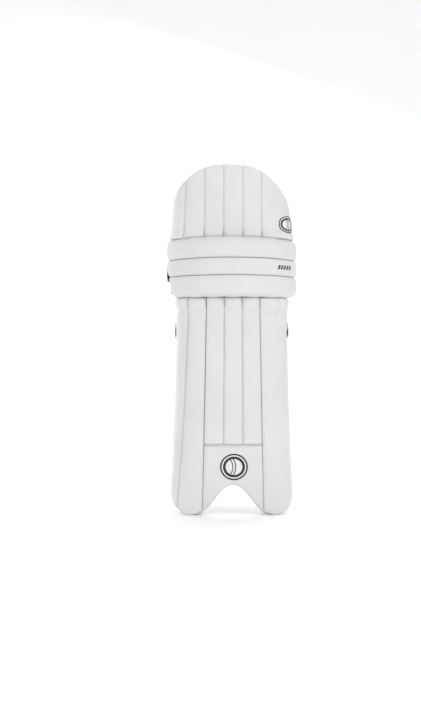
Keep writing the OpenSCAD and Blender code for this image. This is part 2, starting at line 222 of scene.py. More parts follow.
def pillow(wall, s_low, s_high, z_low, z_high, base, height, cols=14, rows=60, back=-BOARD,
           end_radius=9 * MM, side_power=(2.6, 0.5), crumple=0.5 * MM, pucker=0.5 * MM, seed=0,
           inward=False, floor_height=0.0, lips=(3 * MM, 3 * MM), shape=None):
    """A closed cushion on a wall. The limits in s may depend on height from 0 to 1, those in z on s.

    The lips are how fast its floor rises from the lower and the upper edge."""
    u, v = np.meshgrid(crowded(cols), crowded(rows, 0.35), indexing="ij")
    low = s_low(v) if callable(s_low) else s_low
    high = s_high(v) if callable(s_high) else s_high
    s = low + (high - low) * u
    bottom = z_low(s) if callable(z_low) else z_low + 0 * s
    top = z_high(s) if callable(z_high) else z_high + 0 * s
    z = bottom + (top - bottom) * v
    ends = rounded(np.minimum(z - bottom, top - z), end_radius)
    lip = rounded(np.minimum((z - bottom) / lips[0], (top - z) / lips[1]), 1)
    full = dome(u, *side_power) * ends
    seam = np.exp(-np.minimum(u, 1 - u) * np.abs(high - low) / (5 * MM))
    swell = height * full + floor_height * lip
    swell = swell + crumple * full * (bumps(s, z, 38 * MM, seed) + 0.5 * bumps(s, z, 15 * MM, seed + 1))
    swell = swell - pucker * seam * np.abs(bumps(s * 0.3, z, 7 * MM, seed + 2)) * (full > 0.02)
    if shape:
        swell = swell + shape(s, z) * full
    sign = -1 if inward else 1
    front = wall.at(s, z, base + sign * np.maximum(swell, 0))
    rear = wall.at(s, z, back + 0 * s)
    if wall is not KNEE:
        front, rear = flared(front), flared(rear)
    return grid_solid(front, rear)


# ---- materials -------------------------------------------------------------------------------

class Look:
    """A procedural material being built: a shader and helpers for its nodes."""

    def __init__(self, name, color, roughness, **shader):
        self.material = bpy.data.materials.new(name)
        self.material.use_nodes = True
        self.material.diffuse_color = (*color, 1)
        self.nodes = self.material.node_tree.nodes
        self.links = self.material.node_tree.links
        self.shader = self.nodes["Principled BSDF"]
        self.shader.inputs["Base Color"].default_value = (*color, 1)
        self.shader.inputs["Roughness"].default_value = roughness
        for socket, value in shader.items():
            self.shader.inputs[socket.replace("_", " ")].default_value = value
        self.place = self.nodes.new("ShaderNodeTexCoord").outputs["Object"]
        self.height = None

    def node(self, kind, inputs=None, **settings):
        """A node with its settings and inputs. An input is a value or another node's output."""
        made = self.nodes.new(kind)
        for key, value in settings.items():
            setattr(made, key, value)
        for key, value in (inputs or {}).items():
            if isinstance(value, bpy.types.NodeSocket):
                self.links.new(value, made.inputs[key])
            else:
                made.inputs[key].default_value = value
        return made

    def math(self, operation, *values):
        """The output of one sum."""
        return self.node("ShaderNodeMath", dict(enumerate(values)), operation=operation).outputs[0]

    def mix(self, factor, a, b):
        """A colour between a and b."""
        as_color = [c if isinstance(c, bpy.types.NodeSocket) else (*c, 1) for c in (a, b)]
        made = self.node("ShaderNodeMix", {0: factor, 6: as_color[0], 7: as_color[1]}, data_type="RGBA")
        return made.outputs[2]

    def noise(self, scale, detail=3, stretch=(1, 1, 1)):
        """Cloudy noise with waves of about 1 / scale metres."""
        moved = self.node("ShaderNodeMapping", {"Vector": self.place, "Scale": stretch}).outputs[0]
        made = self.node("ShaderNodeTexNoise", {"Vector": moved, "Scale": scale, "Detail": detail})
        return made.outputs["Fac"]

    def cells(self, scale):
        """Leather-like cells of about 1 / scale metres."""
        waves = self.node("ShaderNodeTexNoise", {"Vector": self.place, "Scale": scale * 0.4})
        shift = self.node("ShaderNodeVectorMath", {0: waves.outputs["Color"], "Scale": 0.35 / scale},
                          operation="SCALE")
        bent = self.node("ShaderNodeVectorMath", {0: self.place, 1: shift.outputs[0]}, operation="ADD")
        made = self.node("ShaderNodeTexVoronoi", {"Vector": bent.outputs[0], "Scale": scale},
                         feature="DISTANCE_TO_EDGE")
        return made.outputs["Distance"]

    def stretch(self, value, low, high, to_low=0.0, to_high=1.0):
        """A value between two limits mapped to two others."""
        return self.node("ShaderNodeMapRange", {"Value": value, "From Min": low, "From Max": high,
                                                "To Min": to_low, "To Max": to_high}).outputs[0]

    def bump(self, height, distance, strength=1.0):
        """Adds relief of a depth in metres under the shader's normal."""
        made = self.node("ShaderNodeBump", {"Height": height, "Distance": distance, "Strength": strength})
        if self.height:
            self.links.new(self.height, made.inputs["Normal"])
        self.height = made.outputs[0]
        self.links.new(self.height, self.shader.inputs["Normal"])

    def color(self, output):
        """Sends a colour to the shader."""
        self.links.new(output, self.shader.inputs["Base Color"])

    def rough(self, output):
        """Sends a roughness to the shader."""
        self.links.new(output, self.shader.inputs["Roughness"])


def leather(name, light, dark, roughness, grain=0.00016, **shader):
    """Synthetic leather: pebbled grain, faint creases, uneven gloss and painted shade in the creases."""
    look = Look(name, light, roughness, **shader)
    clouds = look.noise(9, 4)
    fine = look.cells(950)
    # Painted shade: the colour darkens a little in concave creases.
    hollow = look.stretch(look.node("ShaderNodeNewGeometry").outputs["Pointiness"], 0.44, 0.5, 1.0, 0.0)
    tone = look.mix(look.stretch(clouds, 0.35, 0.7), light, dark)
    crease_shade = [c * 0.72 for c in dark]
    look.color(look.mix(look.math("MULTIPLY", hollow, 0.12), tone, crease_shade))
    look.rough(look.stretch(look.noise(60, 3), 0.3, 0.7, roughness - 0.06, roughness + 0.09))
    look.bump(look.noise(120, 4, (1, 1, 0.45)), 0.0006, 0.5)
    look.bump(look.stretch(fine, 0.0, 0.25), grain, 0.7)
    return look.material


def woven(look, pitch, depth):
    """Adds a plain weave of threads at a pitch, which runs across and up the surface."""
    x, y, z = look.node("ShaderNodeSeparateXYZ", {0: look.place}).outputs
    across = look.math("SINE", look.math("MULTIPLY", look.math("ADD", x, y), 2 * math.pi / pitch))
    up = look.math("SINE", look.math("MULTIPLY", z, 2 * math.pi / pitch))
    weave = look.math("MULTIPLY", across, up)
    look.bump(weave, depth, 0.8)
    return weave


def cloth(name, light, dark, pitch=1.3 * MM, depth=0.18 * MM):
    """Lining fabric: a small weave, cloudy shade and fuzz."""
    look = Look(name, light, 0.85, Sheen_Weight=0.25, Sheen_Roughness=0.5)
    weave = woven(look, pitch, depth)
    cloudy = look.mix(look.stretch(look.noise(14, 4), 0.35, 0.7), light, dark)
    threads = look.mix(look.stretch(weave, -1, 1, 0.0, 0.22), cloudy, [c * 0.6 for c in dark])
    look.color(threads)
    look.bump(look.noise(160, 3), 0.0005, 0.4)
    return look.material


def banded(look, value, bands):
    """A colour that changes in steps: bands are (value where it starts, colour) in rising order."""
    low, high = bands[0][0], bands[-1][0] + 0.001
    ramp = look.node("ShaderNodeValToRGB", {"Fac": look.stretch(value, low, high)})
    ramp.color_ramp.interpolation = "CONSTANT"
    elements = ramp.color_ramp.elements
    while len(elements) < len(bands):
        elements.new(0.5)
    for element, (start, color) in zip(elements, bands):
        element.position = (start - low) / (high - low)
        element.color = (*color, 1)
    return ramp.outputs["Color"]


WHITE = (0.70, 0.705, 0.695)
WHITE_DARK = (0.66, 0.665, 0.655)
PALE = (0.69, 0.68, 0.725)
PALE_DARK = (0.60, 0.59, 0.64)
GREY = (0.235, 0.235, 0.24)
DARK = (0.078, 0.066, 0.07)
INK = (0.022, 0.021, 0.023)
ORANGE = (0.80, 0.16, 0.055)


def webbing(name, middle):
    """Striped strap webbing: pale, orange, black and white along its length, with a ribbed weave."""
    look = Look(name, INK, 0.75, Sheen_Weight=0.3)
    x, y, z = look.node("ShaderNodeSeparateXYZ", {0: look.place}).outputs
    rise = look.math("SUBTRACT", z, middle)
    half = 15.5 * MM
    stripes = banded(look, rise, [(-half, (0.72, 0.71, 0.73)), (-half + 5 * MM, (0.035, 0.03, 0.032)),
                                  (-half + 15.5 * MM, ORANGE), (-half + 20 * MM, PALE)])
    rib = look.math("SINE", look.math("MULTIPLY", look.math("ADD", x, y), 2 * math.pi / (1.5 * MM)))
    yarn = look.math("SINE", look.math("MULTIPLY", z, 2 * math.pi / (1.1 * MM)))
    weave = look.math("MULTIPLY", rib, yarn)
    shaded = look.mix(look.stretch(weave, -1, 1, 0.0, 0.35), stripes, (0.02, 0.02, 0.02))
    look.color(shaded)
    look.bump(weave, 0.22 * MM, 0.9)
    look.bump(look.noise(220, 2), 0.0003, 0.4)
    return look.material


def badge_print():
    """A plain roundel: a black disc with a white ring and a white ball with two black seams."""
    look = Look("badge_print", INK, 0.5)
    uv = look.nodes.new("ShaderNodeTexCoord").outputs["UV"]
    u, v, _ = look.node("ShaderNodeSeparateXYZ", {0: uv}).outputs
    radius = look.math("SQRT", look.math("ADD", look.math("POWER", u, 2.0), look.math("POWER", v, 2.0)))
    ring = look.math("COMPARE", radius, 0.84, 0.045)
    ball = look.math("LESS_THAN", radius, 0.6)
    curve = look.math("SQRT", look.math("ADD", look.math("POWER", look.math("ADD", u, 1.0), 2.0),
                                        look.math("POWER", v, 2.0)))
    seams = look.math("MAXIMUM", *[look.math("COMPARE", curve, seam, 0.035) for seam in (0.92, 1.12)])
    white = look.math("MAXIMUM", ring, look.math("MULTIPLY", ball, look.math("SUBTRACT", 1.0, seams)))
    look.color(look.mix(white, INK, (0.74, 0.74, 0.73)))
    look.bump(white, 0.0002, 0.6)
    look.bump(look.noise(400, 2), 0.0002, 0.5)
    return look.material


def plastic():
    """Moulded white plastic with a fine matt texture, a little lighter along its sharp edges."""
    look = Look("ring_plastic", (0.80, 0.80, 0.79), 0.32, Coat_Weight=0.15)
    look.rough(look.stretch(look.noise(240, 3), 0.3, 0.7, 0.26, 0.42))
    # The colour is a little lighter along the ring's sharp convex edges.
    sharp_edges = look.stretch(look.node("ShaderNodeNewGeometry").outputs["Pointiness"], 0.5, 0.6)
    look.color(look.mix(sharp_edges, (0.78, 0.78, 0.77), (0.88, 0.88, 0.87)))
    look.bump(look.noise(900, 2), 0.00005, 0.6)
    return look.material


def thread(name, color):
    """Twisted sewing thread."""
    look = Look(name, color, 0.6, Sheen_Weight=0.3)
    look.color(look.mix(look.stretch(look.noise(1500, 2), 0.3, 0.7), color, [c * 0.75 for c in color]))
    look.bump(look.noise(2500, 1), 0.0001, 0.8)
    return look.material


def printed_lining(name, reach, starts):
    """Lining cloth that is pale up to a printed edge of black, white and orange, and grey beyond it."""
    look = Look(name, PALE, 0.85, Sheen_Weight=0.25)
    weave = woven(look, 1.6 * MM, 0.2 * MM)
    x, _, z = look.node("ShaderNodeSeparateXYZ", {0: look.place}).outputs
    prints = zip(starts, (INK, (0.75, 0.75, 0.76), ORANGE, GREY))
    colors = banded(look, reach(look, look.math("ABSOLUTE", x), z), [(0.0, PALE), *prints])
    look.color(look.mix(look.stretch(weave, -1, 1, 0.0, 0.2), colors, INK))
    look.bump(look.noise(150, 3), 0.0005, 0.4)
    return look.material


def chevrons(look, side, z):
    """The shin lining's print: its edge is a chevron at each end of the centre panel."""
    rise = look.math("ABSOLUTE", look.math("SUBTRACT", z, 0.312))
    return look.math("ADD", rise, look.math("MULTIPLY", side, 0.9))


def kinked_sides(look, side, z):
    """The thigh guard lining's print: its edge is kinked and widens upwards."""
    edge = look.node("ShaderNodeFloatCurve", {"Value": look.stretch(z, HAT_LOW, HAT_TOP)})
    points = edge.mapping.curves[0].points
    for height, half in ((0.20, 0.46), (0.30, 0.60), (0.53, 0.49), (0.64, 0.53), (0.84, 0.82)):
        points.new(height, half)
    points[0].location = (0.0, 0.28)
    points[-1].location = (1.0, 1.0)
    for point in points:
        point.handle_type = "VECTOR"
    edge.mapping.update()
    half_width = look.math("MULTIPLY", edge.outputs[0], 0.105)
    return look.math("ADD", look.math("SUBTRACT", side, half_width), 0.1)


def gloss_leather():
    """The glossy dark lining of the ankle and ears: smooth, with long soft creases."""
    look = Look("dark_leather", (0.03, 0.029, 0.032), 0.2, Coat_Weight=0.5, Coat_Roughness=0.12)
    look.rough(look.stretch(look.noise(40, 3), 0.3, 0.7, 0.2, 0.36))
    look.bump(look.noise(28, 3, (1, 1, 0.5)), 0.003, 0.5)
    look.bump(look.stretch(look.cells(800), 0.0, 0.25), 0.00005, 0.5)
    return look.material


def make_looks():
    """Every material, by name."""
    return {
        "white": leather("white_leather", WHITE, WHITE_DARK, 0.42, Specular_IOR_Level=0.45),
        "piping": leather("white_piping", (0.76, 0.76, 0.75), WHITE_DARK, 0.4, grain=0.0001),
        "gloss": gloss_leather(),
        "pale": cloth("pale_lining", PALE, PALE_DARK),
        "dark": cloth("dark_lining", DARK, (0.06, 0.052, 0.055)),
        "centre": printed_lining("centre_cloth", chevrons, (0.084, 0.093, 0.096, 0.105)),
        "hat": printed_lining("hat_cloth", kinked_sides, (0.091, 0.1, 0.1022, 0.108)),
        **{name: webbing(name + "_webbing", facts["z"] * MM) for name, facts in STRAPS.items()},
        "badge": badge_print(),
        "ring": plastic(),
        "hook": cloth("hook_and_loop", (0.05, 0.05, 0.053), (0.035, 0.035, 0.04),
                      pitch=1.0 * MM, depth=0.3 * MM),
        "thread": thread("white_thread", (0.70, 0.70, 0.69)),
        "dark_thread": thread("dark_thread", (0.05, 0.05, 0.05)),
    }


LOOKS = make_looks()


def dress(obj, look, replaced=()):
    """Gives a piece its material and hides the CAD nodes it stands for."""
    obj.data.materials.append(LOOKS[look])
    if replaced:
        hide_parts(*replaced)
    return obj


def backed(obj, look, low, high):
    """Gives another material to the faces at a piece's sides that look backwards, between two heights."""
    reach = 60 * MM
    obj.data.materials.append(LOOKS[look])
    slot = obj.data.materials.find(LOOKS[look].name)
    for face in obj.data.polygons:
        if face.normal.y > 0.3 and low <= face.center.z < high and abs(face.center.x) > reach:
            face.material_index = slot


def tube(name, points, radius, body, look, sides=8):
    """A thin round cord that follows a line of points."""
    line = np.array(points)
    way = np.gradient(line, axis=0)
    way /= np.linalg.norm(way, axis=1)[:, None]
    across = np.cross(way, (0, 1, 0.01))
    across /= np.linalg.norm(across, axis=1)[:, None]
    up = np.cross(way, across)
    vertices = []
    for a in np.linspace(0, 2 * math.pi, sides, endpoint=False):
        vertices.append(line + radius * (math.cos(a) * across + math.sin(a) * up))
    vertices = np.stack(vertices, axis=1).reshape(-1, 3)
    return dress(new_object(name, vertices, skin(len(line), sides), body), look)


# ---- the front -------------------------------------------------------------------------------

def arch(s):
    """Height of the shin section's lower edge at a distance round the face: arch, ear tip, ear side."""
    half_width = 87 * MM
    x = np.minimum(np.abs(SHIN.at(s, 0, 6 * MM)[..., 0]), half_width)
    middle = 65.5 * MM * (0.5 + 0.5 * np.cos(math.pi * x / half_width)) ** 1.12
    side = np.maximum(0, np.abs(s) - 74 * MM) / (48.5 * MM)
    return middle + 46 * MM * side ** 1.7 - 0.9 * MM


def hat_edge(s):
    """Height of the thigh guard's upper edge at a distance round it: fuller on the inner side."""
    leaning = np.abs(s + 7 * MM) / (133 * MM)
    rise = np.maximum(0, 1 - leaning ** 2.75) ** 0.6
    return HAT_LOW + np.maximum(34 * MM, (HAT_TOP - HAT_LOW - 1 * MM) * rise)


def shin_seam(j, low, high):
    """A seam's distance round the shin at a height from 0 to 1: the channels fan out downwards."""
    def place(v):
        drop = 1 - (low + (high - low) * v) / SHIN_TOP
        spread = 0.965 + 0.135 * drop if abs(j) < 3 else 0.985 + 0.035 * drop
        return j * SHIN_PITCH * spread
    return place


def flared(front):
    """Moves the sides of a grid outwards at the ears and, less, at the foot of the thigh guard."""
    z = front[..., 2]
    out = np.interp(z, [0, 0.05, 0.09, 0.13, 0.25, 0.37, 0.44, 0.55, 0.6, 0.65],
                    [12, 11, 9, 6.5, 3, 0.5, 3, 5.5, 3, 0]) * MM
    side = np.clip((np.abs(front[..., 0]) - 50 * MM) / (50 * MM), 0, 1)
    front[..., 0] += np.sign(front[..., 0]) * out * side ** 1.5
    return front


def face_channel(wall, low, high, z_low, z_high, seed, rows, height=FACE_H, **more):
    """One stuffed channel of a face, with flat sewn edges."""
    settings = dict(rows=rows, back=FACE_BACK, end_radius=7 * MM, crumple=0.7 * MM, pucker=0.9 * MM,
                    seed=seed, floor_height=SEAM_H)
    return pillow(wall, low, high, z_low, z_high, FACE_BASE, height, **{**settings, **more})


def shin_tops(s, z):
    """The gathers under the knee rolls: a bulge at each channel's top and a dent below it."""
    depth = SHIN_TOP - z
    ripple = 2 * MM * np.sin(s / (9 * MM))
    return 2.6 * MM * np.exp(-((depth - 13 * MM) / (9 * MM)) ** 2) - 2.8 * MM * np.exp(
        -((depth - 29 * MM - ripple) / (4 * MM)) ** 2)


def outer_shin_channels(s, z):
    """The gathers, and the shallow seam inside the wide outer channel, which fades out below them."""
    seam = 2.5 * SHIN_PITCH * (0.965 + 0.135 * (1 - z / SHIN_TOP))
    fade = 1.0 * MM + 4 * MM * np.exp(-((SHIN_TOP - z) / (40 * MM)) ** 2)
    return shin_tops(s, z) - fade * np.exp(-((s - seam) / (3.5 * MM)) ** 2)


def hat_feet(s, z):
    """The thigh guard's channels swell a little where they meet the knee rolls."""
    return 4.5 * MM * np.exp(-((z - HAT_LOW - 6 * MM) / (11 * MM)) ** 2)


def outer_hat_channels(s, z):
    """The swelling, and the faint seam inside the wide outer channel of the thigh guard."""
    return hat_feet(s, z) - 0.7 * MM * np.exp(-((s - 2.5 * HAT_PITCH) / (3 * MM)) ** 2)


def subdivided(obj, levels=1):
    """Adds a subdivision surface."""
    made = obj.modifiers.new("smooth", "SUBSURF")
    made.levels = levels
    made.render_levels = levels
    return obj


def make_shin_face():
    """The white cover of the shin, with short channels over the instep, and the instep's panel."""
    channels = []
    for i in LOBES[:-2]:
        over_instep = abs(i) <= 1
        low, z0 = (INSTEP_TOP, INSTEP_TOP) if over_instep else (arch, 10 * MM)
        channels.append(face_channel(
            SHIN, shin_seam(i - 0.5, z0, SHIN_TOP), shin_seam(i + 0.5, z0, SHIN_TOP), low, SHIN_TOP,
            10 + i, 112, shape=shin_tops, end_radius=(4 if over_instep else 7) * MM,
            lips=(0.8 * MM if over_instep else 3 * MM, 1 * MM)))
    channels.append(face_channel(
        SHIN, shin_seam(1.5, 10 * MM, SHIN_TOP), shin_seam(3.5, 10 * MM, SHIN_TOP), arch, SHIN_TOP, 13, 112,
        shape=outer_shin_channels, cols=34, side_power=(5, 0.5), lips=(3 * MM, 1 * MM)))
    shin = new_object("shin_face", *joined(channels), "shin")
    fillings = ["shin_filling_%d" % i for i in range(1, 8)]
    dress(shin, "white",
          ["shin_face_cover", "shin_backing_board", "shin_canes"] + fillings)
    subdivided(shin)
    backed(shin, "gloss", 0, ANKLE_TOP)
    backed(shin, "pale", ANKLE_TOP, SHIN_TOP)
    panel = face_channel(
        SHIN, shin_seam(-1.5, 0, INSTEP_TOP), shin_seam(1.5, 0, INSTEP_TOP), arch, INSTEP_TOP - 0.3 * MM,
        31, 56, FACE_H - 1 * MM, cols=44, end_radius=4.5 * MM, side_power=(8, 0.5), crumple=1.0 * MM,
        pucker=0.7 * MM, lips=(3 * MM, 0.8 * MM))
    instep = new_object("instep_panel", *panel, "shin")
    dress(instep, "white", ["instep_cover", "instep_foam"])
    subdivided(instep)


def make_hat_face():
    """The white cover of the thigh guard."""
    settings = dict(height=FACE_H - 1.5 * MM, end_radius=5 * MM, lips=(0.8 * MM, 3 * MM))
    channels = [face_channel(HAT, (i - 0.5) * HAT_PITCH, (i + 0.5) * HAT_PITCH, HAT_LOW, hat_edge,
                             50 + i, 60, shape=hat_feet, **settings) for i in LOBES[:-2]]
    channels.append(face_channel(HAT, 1.5 * HAT_PITCH, 3.5 * HAT_PITCH, HAT_LOW, hat_edge, 53, 60, cols=34,
                                 side_power=(5, 0.5), shape=outer_hat_channels, **settings))
    hat = new_object("top_hat_face", *joined(channels), "top_hat")
    fillings = ["top_hat_filling_%d" % i for i in range(1, 8)]
    dress(hat, "white",
          ["top_hat_face_cover", "top_hat_backing_board", "top_hat_canes"] + fillings)
    backed(hat, "hat", HAT_LOW, HAT_TOP)
    subdivided(hat)


def make_piping():
    """Rolled edges round the thigh guard and along the arch and ears, and the instep's stitching."""
    for name, wall, reach, edge, lift, radius, body in (
            ("top_hat_piping", HAT, 127, hat_edge, 0.2, 2.1, "top_hat"),
            ("arch_piping", SHIN, 122, arch, 1.3, 1.9, "shin")):
        s = np.linspace(-reach, reach, 260) * MM
        line = flared(wall.at(s, edge(s) + lift * MM, -0.8 * MM))
        tube(name, line, radius * MM, body, "piping")
    end = float(shin_seam(1.5, 0, INSTEP_TOP)(1.0)) - 1 * MM
    s = np.linspace(-end, end, 80)
    tube("instep_piping", SHIN.at(s, INSTEP_TOP - 0.1 * MM, SEAM_H + 0.9 * MM), 1.5 * MM, "shin", "piping")
    stitches("instep_stitches", SHIN, bpy.data.objects["instep_panel"], -50, 50, INSTEP_TOP - 4 * MM,
             "shin")


def stitches(name, wall, target, s0, s1, z, body, pitch=4.2, length=2.6):
    """A row of short thread stitches that lie on a finished piece."""
    drop = drape(target, wall, 0.0, 0.0, lift=0.15 * MM)
    parts = []
    for k in range(int((s1 - s0) / pitch)):
        ends = [drop((s0 + k * pitch + length * e) * MM, z) for e in (0.0, 0.25, 0.5, 0.75, 1.0)]
        sizes = [0.2, 0.42, 0.5, 0.42, 0.2]
        rings = [[(p[0], p[1] + 0.6 * r * MM * math.cos(a), p[2] + r * MM * math.sin(a))
                  for a in np.linspace(0, 2 * math.pi, 6, endpoint=False)] for p, r in zip(ends, sizes)]
        parts.append((np.array(rings).reshape(-1, 3), skin(len(rings), 6)))
    return dress(new_object(name, *joined(parts), body), "thread")


def roll_end(side, z):
    """How far round the knee a roll reaches at a height: the inner side slants in towards the bottom."""
    corner = 5 * MM * np.clip((z - KNEE_TOP + 9 * MM) / (9 * MM), 0, 1) ** 2
    if side < 0:
        slant = np.clip((KNEE_LOW + 72 * MM - z) / (72 * MM), 0, 1)
        return -128 * MM + 17 * MM * slant ** 1.3 + corner
    foot = np.clip((KNEE_LOW + 14 * MM - z) / (14 * MM), 0, 1)
    return 128 * MM - 8 * MM * foot ** 2 - corner


ROLL_H = 36.5 * MM               # how far a roll stands out from the knee's board
ROLL_SEAM = 31.5 * MM            # the same at the seams between the rolls
ROLL_EDGE = 17 * MM              # the same at the outermost edges


def make_knee_rolls():
    """Three rolls across the knee, sewn from one cover with shallow seams between them."""
    edges = [KNEE_LOW, KNEE_LOW + 40 * MM, KNEE_LOW + 73 * MM, KNEE_TOP]
    for i, name in enumerate(("lower", "middle", "upper")):
        z0, z1 = edges[i], edges[i + 1]
        u, v = np.meshgrid(crowded(120, 0.5), crowded(24, 0.6), indexing="ij")
        flat_z = z0 + (z1 - z0) * v
        s = roll_end(-1, flat_z) + (roll_end(1, flat_z) - roll_end(-1, flat_z)) * u
        ends = rounded(np.minimum(u, 1 - u) * 254 * MM, 7 * MM)
        floor = np.where(v < 0.5, ROLL_EDGE if i == 0 else ROLL_SEAM, ROLL_EDGE if i == 2 else ROLL_SEAM)
        height = floor + (ROLL_H - floor) * dome(v, 3.4, 0.55)
        swell = height * (0.3 + 0.7 * ends)
        broad, fine = bumps(s, flat_z, 45 * MM, 70 + i), bumps(s, flat_z, 17 * MM, 75 + i)
        swell = swell + (0.9 * MM * broad + 0.45 * MM * fine) * ends
        crease = np.exp(-np.minimum(v, 1 - v) * (z1 - z0) / (5 * MM))
        swell = swell - 0.9 * MM * crease * np.abs(bumps(s, flat_z * 0.3, 9 * MM, 80 + i))
        over = swell / (36 * MM)
        waves = 0.8 * MM * np.cos(2 * math.pi * s / (33 * MM))
        z = flat_z + 1.2 * MM * (1 - (s / (119 * MM)) ** 2) * (0 < i) * (v if i < 2 else 1 - v)
        if i == 0:
            z = z - (6.5 * MM + 1.5 * waves) * over * (1 - v) ** 3
        if i == 2:
            z = z + (7 * MM + waves) * over * v ** 3
        back = KNEE.at(s, flat_z, 0.2 * MM + 0 * s)
        roll = new_object("knee_roll_" + name, *grid_solid(KNEE.at(s, z, swell), back), "knee")
        cad = ["knee_roll_cover_" + name, "knee_roll_core_" + name]
        dress(roll, "white", cad + (["knee_backing_board"] if i == 1 else []))
        subdivided(roll)


# ---- the linings -----------------------------------------------------------------------------

def apply_modifier(obj, modifier):
    """Bakes a modifier into its object's mesh."""
    bpy.context.view_layer.update()
    shape = obj.evaluated_get(bpy.context.evaluated_depsgraph_get())
    baked = bpy.data.meshes.new_from_object(shape)
    obj.modifiers.remove(modifier)
    obj.data = baked
    baked.polygons.foreach_set("use_smooth", [True] * len(baked.polygons))


def inflate(obj, wall, cap):
    """Swells a closed cushion by a short cloth simulation, with its sewn back and edges pinned."""
    frames, pressure, grow = 20, 4.0, 0.02
    remesh = obj.modifiers.new("remesh", "REMESH")
    remesh.mode = "VOXEL"
    remesh.voxel_size = 4.5 * MM
    apply_modifier(obj, remesh)
    before = np.array([v.co[:] for v in obj.data.vertices])
    track = np.stack([wall.x, wall.y], axis=1)
    plan = np.stack([np.abs(before[:, 0]), before[:, 1]], axis=1)
    depth = np.array([np.sqrt(((track - q) ** 2).sum(axis=1)).min() for q in plan])
    low, high = before[:, 2].min(), before[:, 2].max()
    pins = (depth < BOARD + 2.2 * MM) | (before[:, 2] < low + 2.5 * MM) | (before[:, 2] > high - 2.5 * MM)
    group = obj.vertex_groups.new(name="sewn")
    group.add([int(k) for k in np.nonzero(pins)[0]], 1.0, "REPLACE")
    cloth = obj.modifiers.new("cloth", "CLOTH")
    cloth.settings.use_pressure = True
    cloth.settings.uniform_pressure_force = pressure
    cloth.settings.effector_weights.gravity = 0
    cloth.settings.vertex_group_mass = "sewn"
    cloth.settings.shrink_min = -grow
    cloth.point_cache.frame_start = 1
    cloth.point_cache.frame_end = frames
    for frame_number in range(1, frames + 1):
        bpy.context.scene.frame_set(frame_number)
    apply_modifier(obj, cloth)
    after = np.array([v.co[:] for v in obj.data.vertices])
    moved = after - before
    length = np.linalg.norm(moved, axis=1)[:, None]
    after = before + moved * np.minimum(1, cap / np.maximum(length, 1e-6))
    obj.data.vertices.foreach_set("co", after.ravel())
    bpy.context.scene.frame_set(1)
    return subdivided(obj)


def inner_cushion(name, body, wall, s0, s1, z0, z1, thick, look, slot, fill, cad=None, **more):
    """A cushion on the inner side of a wall, made a little thin and then swollen."""
    thin, cap = 3 * MM, 4 * MM
    made = pillow(wall, s0, s1, z0, z1, -BOARD, thick - thin - 0.4 * cap, inward=True, floor_height=thin,
                  **more)
    obj = new_object(name, *made, body)
    dress(obj, look, [cad or name])
    return inflate(obj, wall, cap)


def falling(z_back, z_side, s_start, s_end):
    """An upper or lower edge that changes height from the face's side to the back of a flap."""
    def edge(s):
        return z_back + (z_side - z_back) * np.clip((np.abs(s) - s_start) / (s_end - s_start), 0, 1)
    return edge


def make_linings():
    """The swollen cushions on the back of the boards: centre panels, bolsters and wings."""
    low, high = ANKLE_TOP + 0.5 * MM, SHIN_TOP - 3 * MM
    inner_cushion("shin_centre_lining", "shin", SHIN, -33.5 * MM, 33.5 * MM, low, high, 9.5 * MM,
                  "centre", "pale_lining", 0.5, "shin_centre_liner", cols=30, rows=90, seed=90,
                  side_power=(8, 0.5))
    knee_low, knee_high = KNEE_LOW + 1 * MM, KNEE_TOP - 1 * MM
    inner_cushion("knee_centre_lining", "knee", KNEE, -53 * MM, 53 * MM, knee_low, knee_high, 12.5 * MM,
                  "pale", "pale_lining", 0.6, "knee_centre_liner", cols=40, rows=44, seed=91,
                  side_power=(6, 0.5))
    wing_top = falling(high, high - 11 * MM, 124 * MM, 188 * MM)
    wing_low = falling(knee_low, knee_low + 8 * MM, 124 * MM, 176 * MM)
    wing_high = falling(knee_high, knee_high - 5 * MM, 124 * MM, 176 * MM)
    for name, side in SIDES.items():
        inner_cushion("calf_bolster_" + name, "shin", SHIN, 34 * MM * side, 87 * MM * side, low, high,
                      22 * MM, "dark", "dark_lining", 0.85, cols=22, rows=90, seed=92 + side)
        inner_cushion("calf_wing_" + name, "shin", SHIN, 87.5 * MM * side, 187 * MM * side, low, wing_top,
                      13 * MM, "pale", "pale_lining", 0.6, cols=40, rows=90, seed=96 + side,
                      side_power=(5, 0.5), end_radius=8 * MM)
        inner_cushion("knee_wing_" + name, "knee", KNEE, 53.5 * MM * side, 175 * MM * side, wing_low,
                      wing_high, 13 * MM, "dark", "dark_lining", 0.6, cols=48, rows=44,
                      seed=100 + side, side_power=(6, 0.5), end_radius=8 * MM)


def make_ankle_lining():
    """The glossy lining of the instep and ears, in upright channels."""
    def foot(s):
        return arch(np.clip(s, -122 * MM, 122 * MM)) + 1 * MM

    channels = [(-145, -120, 7.5), (-120, -88, 10.5), (-88, -55, 10.5), (-55, 55, 5.5),
                (55, 88, 10.5), (88, 120, 10.5), (120, 145, 7.5)]
    parts = []
    for k, (s0, s1, height) in enumerate(channels):
        wide = {"cols": 36, "side_power": (8, 0.5)} if s1 - s0 > 100 else {}
        parts.append(pillow(ANKLE, s0 * MM, s1 * MM, foot, ANKLE_TOP, -BOARD, height * MM, inward=True,
                            floor_height=2.5 * MM, crumple=1.6 * MM, seed=110 + k, **wide))
    lining = new_object("ankle_lining", *joined(parts), "shin")
    dress(lining, "gloss", ["ankle_liner"])
    subdivided(lining)


def make_hat_lining():
    """The thigh guard's lining, sewn in the same channels as its face."""
    parts = []
    for i in LOBES:
        s0 = max(-126 * MM, (i - 0.5) * HAT_PITCH)
        s1 = min(126 * MM, (i + 0.5) * HAT_PITCH)
        parts.append(pillow(HAT, s0, s1, HAT_LOW, lambda s: hat_edge(s) - 1 * MM, -BOARD, 4 * MM,
                            inward=True, floor_height=1.6 * MM, rows=50, crumple=0.6 * MM,
                            seed=120 + i, end_radius=5 * MM))
    lining = new_object("top_hat_lining", *joined(parts), "top_hat")
    dress(lining, "hat", ["top_hat_liner"])
    subdivided(lining)


